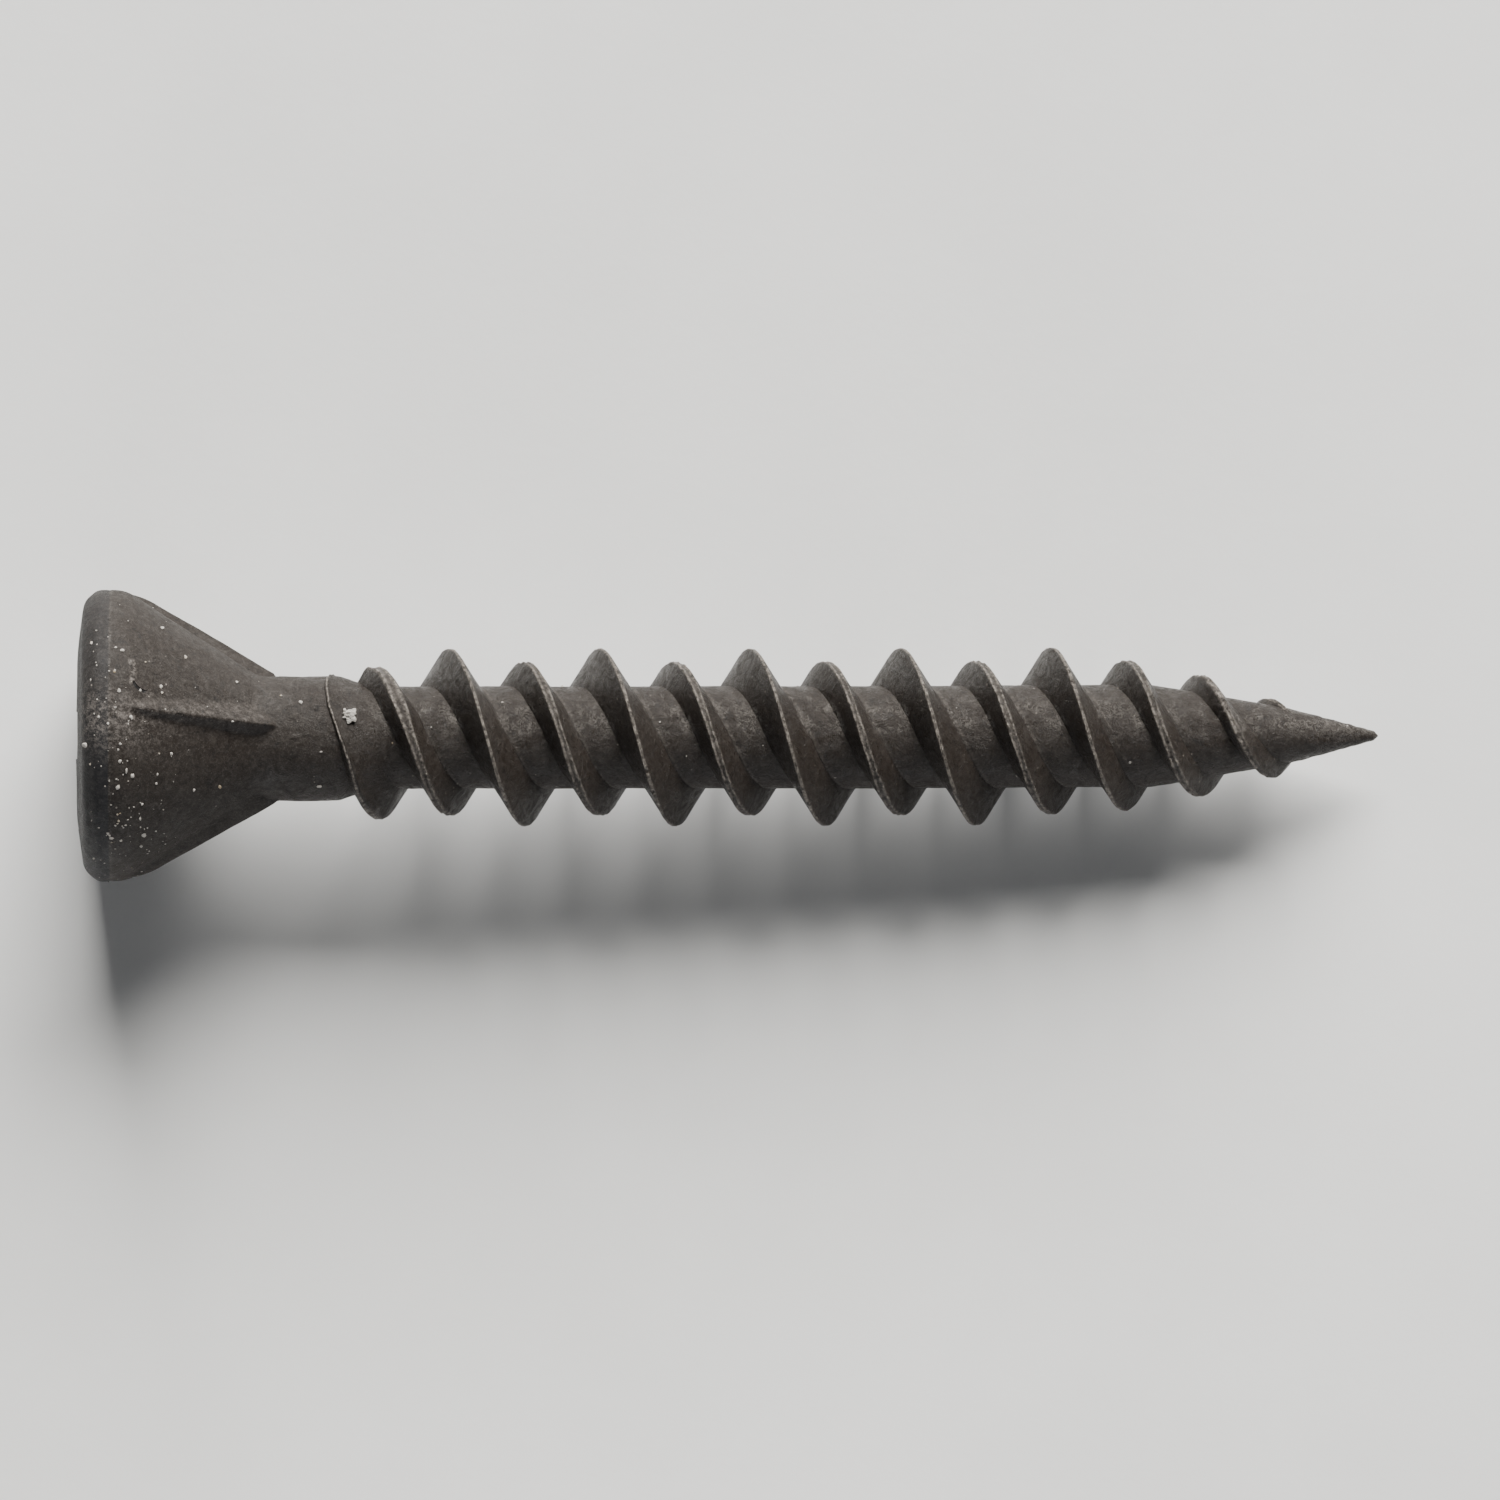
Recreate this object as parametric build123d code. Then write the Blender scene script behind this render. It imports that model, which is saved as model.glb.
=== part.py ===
from build123d import *

import math
import os

# A countersunk wood screw, number 8 by 1 1/4 inch: a trumpet-shaped head with four ribs
# under it, a plain neck, a right-hand thread with a high and a low start, and a sharp point.
# It is forged and rolled from one steel wire, and is written here as its named features,
# which meet face to face and don't overlap.
#
# Frame, in millimetres: the origin is the centre of the head's flat face, X runs along the
# axis to the tip, and Y and Z are across it. An outline is drawn as (distance from the head's
# face, radius) and turned about X. Turns are counted about X from +Y towards +Z.

OVERALL_LENGTH = 31.75

# Head
HEAD_RADIUS = 3.56
FACE_FLAT_RADIUS = 2.1
FACE_CROWN_DROP = 0.21
FACE_CROWN_RADIUS = 3.33
LAND_START = 0.31
FACE_EDGE_FILLET = 0.28
HEAD_CONE_HALF_ANGLE = 32.7
HEAD_CONE_START = 1.21
RIM_FILLET = 1.3
NECK_FILLET = 1.1
HEAD_END = 4.92

# Cross recess in the head, for a number 2 bit
RECESS_TOP_RADIUS = 2.25
RECESS_FLOOR_RADIUS = 1.14
RECESS_WING_TAPER = 26.5
RECESS_TOP_WING_WIDTH = 1.14
RECESS_WALL_TAPER = 5.75
RECESS_CORNER_RADIUS = 0.3
RECESS_FLOOR_CONE_HALF_ANGLE = 70.0

# Ribs under the head
RIB_COUNT = 4
RIB_FIRST_TURN = 78.5
RIB_START = 0.95
RIB_END = 4.82
RIB_END_RADIUS = 1.6
RIB_SLOPE = 0.586
RIB_DEPTH = 0.5
RIB_HALF_WIDTH = 0.66
RIB_BELOW_LAND = 0.01

# Shaft
NECK_RADIUS = 1.526
NECK_END = 6.4
CORE_RADIUS = 1.255
CORE_START = 7.15
TAPER_START = 26.2
POINT_START = 29.6
POINT_START_RADIUS = 0.675
TIP_RADIUS = 0.1
SHAFT_OUTLINE = [
    (HEAD_END, NECK_RADIUS),
    (NECK_END, NECK_RADIUS),
    (CORE_START, CORE_RADIUS),
    (TAPER_START, CORE_RADIUS),
    (POINT_START, POINT_START_RADIUS),
    (OVERALL_LENGTH, TIP_RADIUS),
]

# Threads: each crest rises out of the neck, runs level, and falls with the taper to the point
LEAD = 3.671
FLANK_HALF_ANGLE = 28.5
HIGH_CREST_AT_Y = 9.085
HIGH_CREST_RADIUS = 2.17
HIGH_CREST_HALF_FLAT = 0.045
HIGH_CREST_OUTLINE = [
    (5.9, 1.535),
    (7.36, 1.96),
    (8.85, HIGH_CREST_RADIUS),
    (24.0, HIGH_CREST_RADIUS),
    (29.2, 1.03),
    (29.75, 0.68),
]
LOW_CREST_RADIUS = 1.88
LOW_CREST_HALF_FLAT = 0.085
LOW_CREST_OUTLINE = [
    (6.7, 1.43),
    (7.3, 1.73),
    (8.9, LOW_CREST_RADIUS),
    (25.33, LOW_CREST_RADIUS),
    (28.95, 1.08),
    (29.4, 0.74),
]
STEPS_PER_TURN = 24
ROOT_PASSES = 6

AXIAL = Plane.YZ  # its normal is +X, its x is +Y and its y is +Z


def turned(outline_points):
    """The face inside an outline of (distance, radius) points, closed along the axis, turned about X."""
    return revolve(make_face(Polyline(*outline_points, close=True)), Axis.X)


def head_blank():
    """The head with no recess: flat face, crowned edge, short land, cone and the curve into the neck."""
    cone_slope = math.tan(math.radians(HEAD_CONE_HALF_ANGLE))
    cone_end = HEAD_CONE_START + (HEAD_RADIUS - NECK_RADIUS) / cone_slope
    crown = TangentArc(
        (0, FACE_FLAT_RADIUS), (FACE_CROWN_DROP, FACE_CROWN_RADIUS), tangent=(0, 1)
    )
    land_corner = (LAND_START, HEAD_RADIUS)
    rest = Polyline(
        crown @ 1,
        land_corner,
        (HEAD_CONE_START, HEAD_RADIUS),
        (cone_end, NECK_RADIUS),
        (HEAD_END, NECK_RADIUS),
        (HEAD_END, 0),
        (0, 0),
        (0, FACE_FLAT_RADIUS),
    )
    outline = make_face([crown, *rest.edges()])
    for corner, radius in (
        (land_corner, FACE_EDGE_FILLET),
        ((HEAD_CONE_START, HEAD_RADIUS), RIM_FILLET),
        ((cone_end, NECK_RADIUS), NECK_FILLET),
    ):
        vertex = outline.vertices().sort_by_distance(corner)[0]
        outline = fillet(vertex, radius)
    return revolve(outline, Axis.X)


def driver_recess():
    """The space of the cross recess: four tapered wings inside a cone, with a shallow cone for a floor."""
    depth = (RECESS_TOP_RADIUS - RECESS_FLOOR_RADIUS) / math.tan(
        math.radians(RECESS_WING_TAPER)
    )
    span = 2 * HEAD_RADIUS
    cross = Rectangle(span, RECESS_TOP_WING_WIDTH) + Rectangle(RECESS_TOP_WING_WIDTH, span)
    inner_corners = cross.vertices().group_by(lambda v: round(v.center().length, 3))[0]
    cross = fillet(inner_corners, RECESS_CORNER_RADIUS)
    wings = extrude(AXIAL * cross, depth, taper=RECESS_WALL_TAPER)
    bounds = turned(
        [
            (0, 0),
            (0, RECESS_TOP_RADIUS),
            (depth, RECESS_FLOOR_RADIUS),
            (depth, 0),
        ]
    )
    floor_depth = RECESS_FLOOR_RADIUS / 2 / math.tan(math.radians(RECESS_FLOOR_CONE_HALF_ANGLE))
    middle = turned(
        [
            (0, 0),
            (0, RECESS_TOP_WING_WIDTH),
            (depth, RECESS_FLOOR_RADIUS / 2),
            (depth + floor_depth, 0),
        ]
    )
    return (wings & bounds) + middle


def rib_blank():
    """A three-sided bar on the +Y side, whose ridge runs straight from the rim down to the neck."""
    run = RIB_END - RIB_START
    ridge_radius = RIB_END_RADIUS + run * RIB_SLOPE
    section = Polygon(
        (ridge_radius, 0),
        (ridge_radius - RIB_DEPTH, RIB_HALF_WIDTH),
        (ridge_radius - RIB_DEPTH, -RIB_HALF_WIDTH),
        align=None,
    )
    along = Vector(run, -run * RIB_SLOPE, 0)
    return extrude(AXIAL.offset(RIB_START) * section, along.length, dir=along)


def head_ribs(head):
    """The four ribs, no wider than the head's land, cut back to the surface of the head."""
    land_radius = HEAD_RADIUS - RIB_BELOW_LAND
    land = turned([(0, 0), (0, land_radius), (HEAD_END, land_radius), (HEAD_END, 0)])
    rib = ((rib_blank() & land) - head).solids().sort_by(Axis.Y)[-1]
    turns = (RIB_FIRST_TURN + 360 / RIB_COUNT * number for number in range(RIB_COUNT))
    return [rib.rotate(Axis.X, turn) for turn in turns]


def neck():
    """The plain neck, with the cone at its end where the rolled thread begins."""
    return turned([(HEAD_END, 0), *SHAFT_OUTLINE[:3], (CORE_START, 0)])


def core():
    """The threaded core: a cylinder, then the taper behind the point."""
    return turned([(CORE_START, 0), *SHAFT_OUTLINE[2:5], (POINT_START, 0)])


def point():
    """The sharp end: a steeper cone with a small round tip."""
    tip_centre = OVERALL_LENGTH - TIP_RADIUS
    cone = turned([(POINT_START, 0), SHAFT_OUTLINE[4], (tip_centre, TIP_RADIUS), (tip_centre, 0)])
    return cone + Sphere(TIP_RADIUS).moved(Location((tip_centre, 0, 0)))


def radius_at(outline, distance):
    """The radius of an outline at a distance from the head's face."""
    for (start, start_radius), (end, end_radius) in zip(outline, outline[1:]):
        if distance <= end:
            share = (distance - start) / (end - start)
            return start_radius + (end_radius - start_radius) * share
    return outline[-1][1]


def root_of(middle, crest_radius, crest_half_flat, side):
    """Where a flank meets the shaft: its distance from the crest's middle, and the radius there."""
    flank_slope = math.tan(math.radians(FLANK_HALF_ANGLE))
    radius = radius_at(SHAFT_OUTLINE, middle)
    for _ in range(ROOT_PASSES):
        offset = crest_half_flat + (crest_radius - radius) * flank_slope
        radius = radius_at(SHAFT_OUTLINE, middle + side * offset)
    return offset, radius


def thread(crest_at_y, crest_outline, crest_half_flat):
    """One start of the thread: four helical strips and two flat ends, wound right-handed on the shaft."""
    start, end = crest_outline[0][0], crest_outline[-1][0]
    steps = math.ceil((end - start) / LEAD * STEPS_PER_TURN)
    edges = []
    for side, is_crest in ((-1, False), (1, False), (1, True), (-1, True)):
        points = []
        for step in range(steps + 1):
            middle = start + (end - start) * step / steps
            offset, radius = crest_half_flat, radius_at(crest_outline, middle)
            if not is_crest:
                offset, radius = root_of(middle, radius, crest_half_flat, side)
            turn = 2 * math.pi * (middle - crest_at_y) / LEAD
            points.append((middle + side * offset, radius * math.cos(turn), radius * math.sin(turn)))
        edges.append(Spline(*points))
    strips = [Face.make_surface_from_curves(*pair) for pair in zip(edges, edges[1:] + edges[:1])]
    ends = [
        make_face(Polyline(*(edge @ place for edge in edges), close=True)).face()
        for place in (0, 1)
    ]
    return Solid(Shell([*strips, *ends]))


def build():
    """Every feature of the screw by its name."""
    blank = head_blank()
    return {
        "head": blank - driver_recess(),
        "head_ribs": Compound(children=head_ribs(blank)),
        "neck": neck(),
        "core": core(),
        "high_thread": thread(HIGH_CREST_AT_Y, HIGH_CREST_OUTLINE, HIGH_CREST_HALF_FLAT),
        "low_thread": thread(HIGH_CREST_AT_Y + LEAD / 2, LOW_CREST_OUTLINE, LOW_CREST_HALF_FLAT),
        "point": point(),
    }


os.makedirs("parts", exist_ok=True)
for name, shape in build().items():
    export_step(shape, f"parts/{name}.step")
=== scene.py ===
import itertools
import math

import bmesh
import bpy
import numpy as np
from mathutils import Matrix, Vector


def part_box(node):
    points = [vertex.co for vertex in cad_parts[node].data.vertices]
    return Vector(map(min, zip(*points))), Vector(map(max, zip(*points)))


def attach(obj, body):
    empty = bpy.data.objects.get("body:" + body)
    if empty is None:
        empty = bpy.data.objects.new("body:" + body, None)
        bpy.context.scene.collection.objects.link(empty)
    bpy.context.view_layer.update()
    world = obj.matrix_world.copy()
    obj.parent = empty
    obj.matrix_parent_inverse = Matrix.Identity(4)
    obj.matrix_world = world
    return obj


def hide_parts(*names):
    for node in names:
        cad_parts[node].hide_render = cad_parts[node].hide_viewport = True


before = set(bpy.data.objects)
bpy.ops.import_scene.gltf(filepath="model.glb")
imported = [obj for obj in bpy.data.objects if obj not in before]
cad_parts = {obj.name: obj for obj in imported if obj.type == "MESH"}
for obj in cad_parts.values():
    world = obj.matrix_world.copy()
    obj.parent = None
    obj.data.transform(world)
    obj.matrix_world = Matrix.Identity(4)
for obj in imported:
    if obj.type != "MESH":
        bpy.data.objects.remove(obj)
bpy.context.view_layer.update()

# A phosphated wood screw lying on a pale table, seen from straight above. X runs along the screw
# from the head's face to the tip, Y is up in the picture and Z points at the camera. Turns are
# counted about X from +Y towards +Z. Lengths are in metres.

MM = 0.001

# The frame's own sizes
FACE_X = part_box("head")[0].x
HEAD_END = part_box("head")[1].x
HEAD_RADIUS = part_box("head")[1].z
NECK_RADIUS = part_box("neck")[1].z
CORE_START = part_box("neck")[1].x
CORE_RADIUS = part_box("core")[1].z
POINT_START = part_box("core")[1].x
POINT_START_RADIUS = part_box("point")[1].z
TIP_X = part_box("point")[1].x
HIGH_CREST_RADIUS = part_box("high_thread")[1].z
LOW_CREST_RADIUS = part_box("low_thread")[1].z

# Head
FACE_CORNERS = [  # x, radius, and how round the corner is
    (FACE_X, 0.03 * MM, 0),
    (FACE_X, 2.05 * MM, 3.0 * MM),
    (0.17 * MM, 3.28 * MM, 0.5 * MM),
    (0.5 * MM, HEAD_RADIUS, 0.35 * MM),
    (1.21 * MM, HEAD_RADIUS, 1.3 * MM),
    (4.386 * MM, NECK_RADIUS, 1.1 * MM),
    (HEAD_END, NECK_RADIUS, 0),
]
PARTING_LINE_X = 0.82 * MM
PARTING_LINE_DEPTH = 0.009 * MM
PARTING_LINE_WIDTH = 0.04 * MM
PARTING_LINE_WANDER = 0.03 * MM
PARTING_LINE_FACING = 0.5  # how far outward the skin faces, from 0 to 1, where it can carry the line
SIDE_FACING = 0.2  # and where it counts as the head's side and not its face
FORGED_HEIGHT = 0.011 * MM
FORGED_FADE = 0.3 * MM

# Ribs
RIB_COUNT = 4
RIB_FIRST_TURN = math.radians(78.5)
RIB_END = 4.8 * MM
RIB_END_RADIUS = 1.63 * MM
RIB_SLOPE = 0.586
RIB_STEEP_SIDE = 1.35
RIB_GENTLE_SIDE = 0.70
RIB_START = 0.9 * MM
RIB_END_STEEPNESS = (0.9, 0.25, 1.4, 1.6)
RIB_START_STEEPNESS = 1.6
RIB_TOP_ROUNDING = 0.24 * MM
RIB_ROUNDING = 0.06 * MM

# Cross recess
RECESS_TOP_RADIUS = 2.25 * MM
RECESS_FLOOR_RADIUS = 1.14 * MM
RECESS_END_TAPER = math.radians(26.5)
RECESS_WALL_TAPER = math.radians(5.75)
RECESS_HALF_WIDTH = 0.57 * MM
RECESS_CORNER_ROUNDING = 0.25 * MM
RECESS_LIP_ROUNDING = 0.12 * MM
RECESS_FLOOR_CONE = math.radians(70)

# Shaft
SHAFT_CORNERS = [
    (HEAD_END, NECK_RADIUS, 0),
    (6.4 * MM, NECK_RADIUS, 0.5 * MM),
    (CORE_START, CORE_RADIUS, 0.6 * MM),
    (26.2 * MM, CORE_RADIUS, 1.5 * MM),
    (POINT_START, POINT_START_RADIUS, 3.0 * MM),
    (TIP_X - 0.1 * MM, 0.12 * MM, 0.1 * MM),
    (TIP_X, 0.02 * MM, 0),
]
ROLLED_HEIGHT = 0.006 * MM
PIT_HEIGHT = 0.011 * MM
PATCH_MIDDLE = 0.4
PATCH_MIN = 0.08
CREASE_WEIGHT = 0.8
TIP_BURR_START = 29.0 * MM
TIP_BURR_RISE = 1.0 * MM
TIP_BURR_HEIGHT = 0.012 * MM
TIP_BURR_FULL_RADIUS = 0.3 * MM

# Threads
LEAD = 3.671 * MM
FLANK_TAN = math.tan(math.radians(28.5))
HIGH_CREST_AT_Y = 9.085 * MM
HIGH_CREST = [  # helix x, crest radius, half flat, shift of the crest, slack of its far flank, edge rounding
    (5.20 * MM, 1.46 * MM, 0.05 * MM, 1.00 * MM, 2.0, 0.02 * MM),
    (5.41 * MM, 1.57 * MM, 0.06 * MM, 0.80 * MM, 2.5, 0.02 * MM),
    (5.60 * MM, 1.58 * MM, 0.04 * MM, 0.53 * MM, 5.0, 0.02 * MM),
    (5.77 * MM, 1.58 * MM, 0.03 * MM, 0.33 * MM, 7.0, 0.02 * MM),
    (6.02 * MM, 1.59 * MM, 0.03 * MM, 0.16 * MM, 7.0, 0.02 * MM),
    (6.26 * MM, 1.62 * MM, 0.03 * MM, 0.13 * MM, 6.0, 0.03 * MM),
    (6.54 * MM, 1.71 * MM, 0.03 * MM, 0.13 * MM, 3.0, 0.06 * MM),
    (6.81 * MM, 1.81 * MM, 0.04 * MM, 0.07 * MM, 1.4, 0.12 * MM),
    (7.03 * MM, 1.91 * MM, 0.05 * MM, 0.08 * MM, 0.6, 0.18 * MM),
    (7.25 * MM, 1.99 * MM, 0.06 * MM, 0.10 * MM, 0.15, 0.20 * MM),
    (7.70 * MM, 2.06 * MM, 0.05 * MM, 0.06 * MM, 0, 0.14 * MM),
    (8.17 * MM, 2.12 * MM, 0.03 * MM, 0.02 * MM, 0, 0.08 * MM),
    (9.00 * MM, HIGH_CREST_RADIUS, 0.02 * MM, 0, 0, 0.05 * MM),
    (24.0 * MM, HIGH_CREST_RADIUS, 0.02 * MM, 0, 0, 0.05 * MM),
    (25.6 * MM, 1.82 * MM, 0.02 * MM, 0, 0, 0.06 * MM),
    (27.44 * MM, 1.50 * MM, 0.04 * MM, 0, 0, 0.09 * MM),
    (29.2 * MM, 1.03 * MM, 0.06 * MM, 0, 0.9, 0.12 * MM),
    (29.8 * MM, 0.62 * MM, 0.03 * MM, 0, 0, 0.02 * MM),
]
LOW_CREST = [  # the same six numbers in each row
    (6.45 * MM, 1.34 * MM, 0.05 * MM, 0.30 * MM, 1.0, 0.02 * MM),
    (6.80 * MM, 1.50 * MM, 0.10 * MM, 0.12 * MM, 0.5, 0.04 * MM),
    (7.25 * MM, 1.74 * MM, 0.13 * MM, -0.02 * MM, 0, 0.17 * MM),
    (8.17 * MM, 1.82 * MM, 0.10 * MM, 0, 0, 0.05 * MM),
    (9.08 * MM, LOW_CREST_RADIUS, 0.06 * MM, 0, 0, 0.12 * MM),
    (11.0 * MM, LOW_CREST_RADIUS, 0.065 * MM, 0, 0, 0.06 * MM),
    (25.9 * MM, LOW_CREST_RADIUS, 0.065 * MM, 0, 0, 0.06 * MM),
    (27.44 * MM, 1.44 * MM, 0.07 * MM, 0, 0, 0.08 * MM),
    (28.95 * MM, 1.07 * MM, 0.07 * MM, 0, 0, 0.05 * MM),
    (29.7 * MM, 0.62 * MM, 0.05 * MM, 0, 0, 0.02 * MM),
]
LOW_CREST_OFFSET = 0.03 * MM
CREST_OFFSET_START = 8 * MM
CREST_OFFSET_RISE = 1.0 * MM
CREST_FLAT_VARIATION = 0.3
WEAR_REACH = 0.026 * MM
NICK_DEPTH = 0.09 * MM
NICK_THRESHOLD = 0.35
RAGGED_HEIGHT = 0.008 * MM
RAGGED_ASIDE = 0.012 * MM
THREAD_HEIGHT = 0.005 * MM
FLANK_TOP_SHARE = 0.8
FLANK_HEIGHT_MIN = 0.01 * MM
EDGE_POINTS = ((0.55, 0.52), (0.27, 0.16), (0, 0))  # beyond the flat and below the crest, in edge roundings
GROOVE_POINTS = ((0.66, 0.45), (0.33, 0.9))  # shares of the half flat and of the groove's depth
ROOT_LINE_ASIDE = (0.60 * MM, 0.47 * MM)
ROOT_LINE_START, ROOT_LINE_END = 8 * MM, 26 * MM
ROOT_LINE_RISE = 1.0 * MM
ROOT_LINE_WIDTH = 0.028 * MM
ROOT_LINE_HEIGHT = 0.006 * MM
ROOT_LINE_WEAR = 0.3
LOW_CREST_GROOVE = 0.026 * MM
HIGH_CREST_GROOVE = 0.006 * MM
ROOT_BURIED = 0.10 * MM
ROOT_RADIUS_MIN = 0.12 * MM
ROOT_PASSES = 4

# Mineral crumbs: how many, then the middle and spread of x in millimetres and of the turn in degrees
CRUMB_GROUPS = [
    (90, 1.3, 0.55, 128, 26),
    (40, 1.1, 0.8, 80, 25),
    (40, 2.5, 1.2, 0, 180),
    (90, 16, 8, 0, 180),
]
CRUMB_SIZE = 0.018 * MM
CRUMB_SIZE_SPREAD = 0.45
CRUMB_MIN_X, CRUMB_MAX_X = 0.35 * MM, 31.0 * MM
LARGE_CRUMBS = [  # x, y and size in millimetres, on the camera's side
    (2.66, 1.95, 0.055), (2.09, 2.66, 0.045), (2.08, 1.23, 0.04), (0.39, 2.25, 0.035),
    (0.24, -0.22, 0.06), (3.81, 0.35, 0.04), (1.37, 0.45, 0.05), (1.10, -0.20, 0.045),
    (1.09, -0.62, 0.04), (1.25, -0.85, 0.045), (1.97, -1.12, 0.04), (1.04, -1.25, 0.045),
    (2.87, -1.27, 0.045), (3.49, -1.19, 0.045),
    (1.57, -2.0, 0.045), (1.65, -2.4, 0.05), (0.86, -2.49, 0.055), (1.10, -2.55, 0.035), (0.43, -2.99, 0.04),
    (4.98, 1.04, 0.04), (5.46, 0.89, 0.04), (5.90, -1.16, 0.06), (6.70, -0.56, 0.055), (5.96, -0.32, 0.035),
]
STUCK_LUMP = (6.70 * MM, math.radians(68), 1.555 * MM)  # x, turn and the radius under it
STUCK_LUMP_REACH = 0.085 * MM
STUCK_LUMP_CRUMBS = 34
STUCK_LUMP_HEIGHT = 0.06 * MM
STUCK_CRUMB_SIZE = 0.055 * MM
STUCK_CRUMB_SHARES = (0.6, 0.7)  # the smallest share of that size, and how much chance adds

# A crumb's shape, as shares of its size
CRUMB_LIFT = 0.15
CRUMB_STRETCH = (0.55, 0.9)  # the smallest stretch, and how much chance adds
CRUMB_FLATNESS = (1, 1, 0.6)
CRUMB_UNEVENNESS = 0.5
CRUMB_NOISE_REACH = 50

# Mesh fineness
ROUND_STEPS = 320
HEAD_SPACING = 0.034 * MM
SHAFT_ROUND_STEPS = 232
NECK_SPACING = 0.037 * MM
SHAFT_SPACING = 0.055 * MM
POINT_SPACING = 0.025 * MM
THREAD_SPACING = 0.05 * MM
FLANK_STEPS = 7
CORNER_STEPS = 12
CORNER_REACH = 0.49  # a rounded corner takes at most this share of each line beside it
OUTLINE_POINTS_MIN = 3
CRUMB_OUTLINE_SPACING = 0.03 * MM
SHAFT_OUTLINE_SPACING = 0.01 * MM
THREAD_OUTLINE_SPACING = 0.02 * MM
ROUNDING_ERROR = 1e-9
CRUMB_SUBDIVISIONS = 2
CAP_ANGLE = math.radians(65)

# How far the axis wanders sideways along the screw: x and the shift towards +Y, in millimetres
WANDER = [
    (0, 0.04), (1.2, 0.035), (2, 0), (4, -0.02), (5.5, -0.044), (6.5, -0.03), (8, -0.01),
    (20, 0), (24, 0.025), (31.75, 0.035),
]

# Noise: the weight of each layer, the width of its bumps and its seed
FORGED_NOISE = [(1, 1.6 * MM, 1), (0.6, 0.6 * MM, 2), (0.35, 0.22 * MM, 3)]
PARTING_LINE_NOISE = [(1, 0.9 * MM, 5)]
ROLLED_NOISE = [(1, 0.9 * MM, 11), (0.8, 0.3 * MM, 12)]
PATCH_NOISE = [(1.2, 0.5 * MM, 15)]
PIT_NOISE = [(1, 0.13 * MM, 16)]
CREASE_NOISE = [(1, 0.09 * MM, 17)]
TIP_BURR_NOISE = [(1, 0.14 * MM, 14)]
CREST_FLAT_NOISE = [(1, 0.7 * MM, 2)]
NICK_NOISE = [(1, 0.17 * MM, 1)]
RAGGED_NOISE = [(1, 0.075 * MM, 5), (1, 0.16 * MM, 4)]
THREAD_NOISE = [(1, 0.5 * MM, 3), (0.6, 0.2 * MM, 7)]
RAGGED_ASIDE_NOISE = [(1, 0.11 * MM, 6)]
CRUMB_NOISE = [(1, 0.8, 3)]  # its width is in crumb sizes

# Seeds: a thread's is added to those of its noise
HIGH_THREAD_SEED = 20
LOW_THREAD_SEED = 40
CRUMB_PLACES_SEED = 7
CRUMB_SHAPES_SEED = 8

# Large odd numbers and shifts that mix a lattice point's whole numbers into a chance value
HASH_PRIMES = np.array([73856093, 19349663, 83492791], np.int64)
HASH_SEED_FACTOR = 2654435761
HASH_MIX_FACTOR = 1274126177
HASH_FIRST_SHIFT, HASH_LAST_SHIFT = 13, 16
HASH_MASK = 0xFFFF


# ---------------------------------------------------------------- shapes worked out with numbers

def bumps(points, cell, seed):
    """Smooth noise from -1 to 1 at each point, with bumps about one cell wide."""
    scaled = points / cell
    base = np.floor(scaled).astype(np.int64)
    share = scaled - base
    share = share * share * (3 - 2 * share)
    total = np.zeros(points.shape[:-1])
    for corner in itertools.product((0, 1), repeat=3):
        key = ((base + corner) * HASH_PRIMES).sum(-1) + seed * HASH_SEED_FACTOR
        key = (key ^ (key >> HASH_FIRST_SHIFT)) * HASH_MIX_FACTOR
        key = (key ^ (key >> HASH_LAST_SHIFT)) & HASH_MASK
        weight = np.where(np.array(corner) == 1, share, 1 - share).prod(-1)
        total += weight * (2 * key / HASH_MASK - 1)
    return total


def layered(points, noise, seed=0):
    """Layers of noise added up at each point."""
    return sum(weight * bumps(points, cell, seed + number) for weight, cell, number in noise)


def smooth_max(a, b, rounding):
    """The larger of a and b, with the crease between them rounded."""
    share = np.clip(0.5 + 0.5 * (a - b) / rounding, 0, 1)
    return b + (a - b) * share + rounding * share * (1 - share)


def rounded_outline(corners, spacing):
    """Points along a line through (x, radius, rounding) corners, an even spacing apart."""
    points = [np.array(corners[0][:2])]
    for before, corner, after in zip(corners, corners[1:], corners[2:]):
        here = np.array(corner[:2])
        back, ahead = np.array(before[:2]) - here, np.array(after[:2]) - here
        back_length, ahead_length = np.linalg.norm(back), np.linalg.norm(ahead)
        back, ahead = back / back_length, ahead / ahead_length
        turn = math.pi - math.acos(np.clip(back @ ahead, -1, 1))
        longest = CORNER_REACH * min(back_length, ahead_length)
        reach = min(corner[2] * math.tan(turn / 2), longest)
        start, end = here + back * reach, here + ahead * reach
        for share in np.linspace(0, 1, CORNER_STEPS):
            points.append((1 - share) ** 2 * start + 2 * share * (1 - share) * here + share ** 2 * end)
    points.append(np.array(corners[-1][:2]))
    points = np.array(points)
    length = np.concatenate([[0], np.cumsum(np.linalg.norm(np.diff(points, axis=0), axis=1))])
    places = np.linspace(0, length[-1], max(OUTLINE_POINTS_MIN, round(length[-1] / spacing)))
    return np.stack([np.interp(places, length, points[:, 0]), np.interp(places, length, points[:, 1])], 1)


def around(x, radius, turn):
    """Points at a distance along X, a radius and a turn, on the screw's slightly wandering axis."""
    places, offsets = np.array(WANDER).T * MM
    x, radius, turn = np.broadcast_arrays(x, radius, turn)
    return np.stack([x, radius * np.cos(turn) + np.interp(x, places, offsets), radius * np.sin(turn)], -1)


def turns(steps):
    """Evenly spaced turns once round the axis."""
    return np.arange(steps) * 2 * math.pi / steps


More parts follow.
